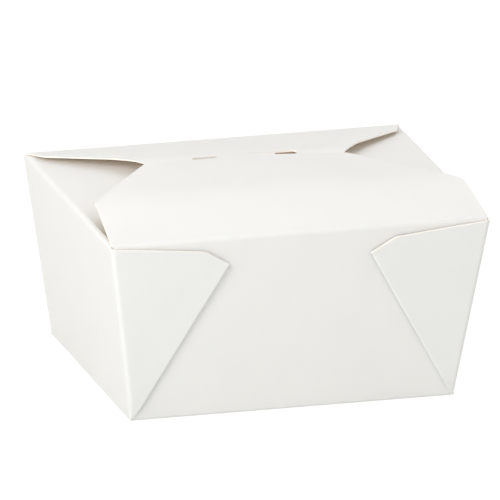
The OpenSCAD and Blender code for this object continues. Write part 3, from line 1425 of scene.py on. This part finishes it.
def blank_material(name: str) -> tuple[bpy.types.Material, bpy.types.NodeTree]:
    """Starts a material with an empty tree.

    Args:
        name: Name of the material.

    Returns:
        The material and its tree.
    """
    material = bpy.data.materials.new(name)
    material.use_nodes = True
    material.node_tree.nodes.clear()
    return material, material.node_tree


@dataclass(frozen=True)
class CoatedBoard:
    """Face of paperboard, rolled smooth, under a thin food-safe coating.

    To the eye it is a calm, even face with a satin sheen. Rolling leaves a faint cloudiness, and
    fine fibres break the sheen in grazing light. The fibres are drawn at 0.7 mm, coarser than the
    real ones, so that they show. Some light passes through the thin board, which keeps its shaded
    faces pale.
    """

    name: str
    light: str
    dark: str
    roughness: float
    gloss_spread: float = 0.06
    cloud_mm: float = 14.0
    fibre_mm: float = 0.7
    fibre_squeeze: float = 2.2
    bump_mm: float = 0.01
    light_through: float = 0.26
    glow: str = "fff5e9"

    def build(self) -> bpy.types.Material:
        """Makes the material."""
        material, tree = blank_material(self.name)
        place = add_node(tree, "ShaderNodeTexCoord").outputs["Object"]
        cloud = add_node(tree, "ShaderNodeTexNoise", {
            "Vector": place, "Scale": 1 / (self.cloud_mm * MM), "Detail": 4.0, "Roughness": 0.55,
        })
        stretch = add_node(tree, "ShaderNodeMapping", {
            "Vector": place, "Scale": (1.0, self.fibre_squeeze, self.fibre_squeeze),
        })
        fibre = add_node(tree, "ShaderNodeTexNoise", {
            "Vector": stretch, "Scale": 1 / (self.fibre_mm * MM), "Detail": 5.0, "Roughness": 0.6,
        })
        tone = add_node(tree, "ShaderNodeMath", {0: cloud, 1: fibre}, operation="ADD")
        spread = add_node(tree, "ShaderNodeMapRange", {
            "Value": tone, "From Min": 0.6, "From Max": 1.4, "To Min": 0.0, "To Max": 1.0,
        })
        colour = add_node(tree, "ShaderNodeMix", {
            0: spread, 6: linear(self.dark), 7: linear(self.light),
        }, data_type="RGBA")
        gloss = add_node(tree, "ShaderNodeMapRange", {
            "Value": fibre, "From Min": 0.3, "From Max": 0.7,
            "To Min": self.roughness - self.gloss_spread,
            "To Max": self.roughness + self.gloss_spread,
        })
        bump = add_node(tree, "ShaderNodeBump", {
            "Height": fibre, "Strength": 0.35, "Distance": self.bump_mm * MM,
        })
        surface = add_node(tree, "ShaderNodeBsdfPrincipled", {
            "Base Color": colour.outputs[2], "Roughness": gloss, "Normal": bump, "IOR": 1.47,
            "Specular IOR Level": 0.4,
        })
        glow = add_node(tree, "ShaderNodeBsdfTranslucent", {
            "Color": linear(self.glow), "Normal": bump,
        })
        mixed = add_node(tree, "ShaderNodeMixShader", {0: self.light_through, 1: surface, 2: glow})
        add_node(tree, "ShaderNodeOutputMaterial", {"Surface": mixed})
        return material


@dataclass(frozen=True)
class CutBoard:
    """Cut edge of paperboard: bare cream fibres between the coated faces.

    To the eye it is a matt, slightly warm line. Its fibres are drawn at 0.25 mm, coarser than the
    real ones, so that they show.
    """

    name: str = "cut_paperboard_edge"
    light: str = "fbf6ef"
    dark: str = "f3ebe0"
    roughness: float = 0.85
    fibre_mm: float = 0.25
    bump_mm: float = 0.03

    def build(self) -> bpy.types.Material:
        """Makes the material."""
        material, tree = blank_material(self.name)
        place = add_node(tree, "ShaderNodeTexCoord").outputs["Object"]
        fibre = add_node(tree, "ShaderNodeTexNoise", {
            "Vector": place, "Scale": 1 / (self.fibre_mm * MM), "Detail": 4.0, "Roughness": 0.65,
        })
        colour = add_node(tree, "ShaderNodeMix", {
            0: fibre, 6: linear(self.dark), 7: linear(self.light),
        }, data_type="RGBA")
        bump = add_node(tree, "ShaderNodeBump", {
            "Height": fibre, "Strength": 0.5, "Distance": self.bump_mm * MM,
        })
        surface = add_node(tree, "ShaderNodeBsdfPrincipled", {
            "Base Color": colour.outputs[2], "Roughness": self.roughness, "Normal": bump,
        })
        add_node(tree, "ShaderNodeOutputMaterial", {"Surface": surface})
        return material


@dataclass(frozen=True)
class Lamp:
    """A soft square lamp that faces the box: where it hangs, its power in watts and its side."""

    name: str
    place: tuple[float, float, float]
    watts: float
    side: float = 400.0
    aim_z: float = 35.0

    def build(self) -> None:
        """Hangs the lamp."""
        light = bpy.data.lights.new(self.name, "AREA")
        light.shape = "SQUARE"
        light.size = self.side * MM
        light.energy = self.watts
        lamp = bpy.data.objects.new(self.name, light)
        lamp.location = Vector(self.place) * MM
        way = Vector((0, 0, self.aim_z)) - Vector(self.place)
        lamp.rotation_euler = way.to_track_quat("-Z", "Y").to_euler()
        bpy.context.scene.collection.objects.link(lamp)


@dataclass
class Studio:
    """Floor, world, lamps and camera."""

    floor_half: float = 2500.0
    floor_hex: str = "f4f3f0"
    floor_share: float = 0.3
    floor_glow: float = 0.76
    world_light: float = 0.81
    world_tint: tuple[float, float, float, float] = (1.0, 1.0, 0.985, 1.0)
    lamps: tuple[Lamp, ...] = (
        Lamp("key", (-600, -450, 500), 3.8), Lamp("back", (450, 450, 800), 1.42),
    )
    focal_px: float = 20000.0
    yaw: float = 17.76
    pitch: float = 18.9
    roll: float = -1.41
    offset: tuple[float, float, float] = (0.0046, 0.3412, 59.6)
    offset_unit: float = 111.1
    clip: tuple[float, float] = (0.1, 50.0)

    @staticmethod
    def seen(tree: bpy.types.NodeTree) -> bpy.types.NodeSocket:
        """Whether a ray shows what it hits to the camera, straight or in a gloss or glass."""
        path = add_node(tree, "ShaderNodeLightPath")
        shown = path.outputs["Is Camera Ray"]
        for way in ("Is Glossy Ray", "Is Transmission Ray"):
            sockets = {0: shown, 1: path.outputs[way]}
            shown = add_node(tree, "ShaderNodeMath", sockets, operation="MAXIMUM").outputs[0]
        return shown

    def floor(self) -> None:
        """Lays the pale floor, which keeps the shadow of the box but is white to the camera."""
        mesh = bpy.data.meshes.new("floor")
        half = self.floor_half * MM
        corners = [(-half, -half, 0), (half, -half, 0), (half, half, 0), (-half, half, 0)]
        mesh.from_pydata(corners, [], [(0, 1, 2, 3)])
        material, tree = blank_material("pale_paper_floor")
        paper = add_node(tree, "ShaderNodeBsdfDiffuse", {"Color": linear(self.floor_hex)})
        part = add_node(tree, "ShaderNodeBsdfDiffuse", {
            "Color": (self.floor_share,) * 3 + (1.0,),
        })
        glow = add_node(tree, "ShaderNodeEmission", {"Color": WHITE, "Strength": self.floor_glow})
        lit = add_node(tree, "ShaderNodeAddShader", {0: part, 1: glow})
        mixed = add_node(tree, "ShaderNodeMixShader", {0: self.seen(tree), 1: paper, 2: lit})
        add_node(tree, "ShaderNodeOutputMaterial", {"Surface": mixed})
        mesh.materials.append(material)
        floor = bpy.data.objects.new("floor", mesh)
        bpy.context.scene.collection.objects.link(floor)
        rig.stage(floor)

    def world(self) -> None:
        """Sets an even pale world that is plain white to the camera."""
        world = bpy.data.worlds.new("studio")
        bpy.context.scene.world = world
        world.use_nodes = True
        tree = world.node_tree
        tree.nodes.clear()
        plain = add_node(tree, "ShaderNodeBackground", {"Color": WHITE, "Strength": 1.0})
        soft = add_node(tree, "ShaderNodeBackground", {
            "Color": self.world_tint, "Strength": self.world_light,
        })
        mixed = add_node(tree, "ShaderNodeMixShader", {0: self.seen(tree), 1: soft, 2: plain})
        add_node(tree, "ShaderNodeOutputWorld", {"Surface": mixed})

    def camera(self) -> None:
        """Sets the camera at the photograph's viewing angle."""
        yaw, pitch, roll = (math.radians(a) for a in (self.yaw, self.pitch, self.roll))
        forward = Vector((
            math.sin(yaw) * math.cos(pitch), math.cos(yaw) * math.cos(pitch), -math.sin(pitch),
        ))
        level = Vector((math.cos(yaw), -math.sin(yaw), 0.0))
        down = forward.cross(level)
        right = math.cos(roll) * level + math.sin(roll) * down
        down = -math.sin(roll) * level + math.cos(roll) * down
        axes = Matrix((right, down, forward))
        place = -(axes.transposed() @ Vector(self.offset)) * self.offset_unit * MM
        data = bpy.data.cameras.new("camera")
        data.sensor_width = SENSOR_MM
        data.lens = self.focal_px / IMAGE_PX * SENSOR_MM
        data.clip_start, data.clip_end = self.clip
        camera = bpy.data.objects.new("camera", data)
        pose = Matrix((right, -down, -forward)).transposed().to_4x4()
        pose.translation = place
        camera.matrix_world = pose
        bpy.context.scene.collection.objects.link(camera)
        bpy.context.scene.camera = camera

    def build(self) -> None:
        """Sets the whole studio."""
        self.camera()
        self.floor()
        self.world()
        for lamp in self.lamps:
            lamp.build()
        bpy.context.scene.view_settings.view_transform = "Standard"


def main() -> None:
    """Builds the box around its frame and sets the studio."""
    logging.basicConfig(level=logging.INFO, format="%(name)s: %(message)s")
    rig.load()
    cad_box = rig.bounds()
    # The inner face is a guess from the warm shade at the gaps: a warm cream, a little glossier.
    finishes = {
        Face.OUTER: CoatedBoard("coated_white_paperboard", "f4f8f9", "f1f5f6", 0.5).build(),
        Face.INNER: CoatedBoard("coated_inside_of_paperboard", "f4e3d0", "ecd8c2", 0.42).build(),
        Face.CUT: CutBoard().build(),
    }
    Studio().build()
    for piece in FoldedSheet().build(finishes):
        LOG.info("%s: %d faces", piece.name, len(piece.data.polygons))
    with open(SIZE_FILE, "w", encoding="utf-8") as out:
        json.dump({"cad": [list(c) for c in cad_box], "visual": [list(c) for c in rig.bounds()]}, out)
    LOG.info("sizes: %s", open(SIZE_FILE, encoding="utf-8").read())


if __name__ == "__main__":
    main()
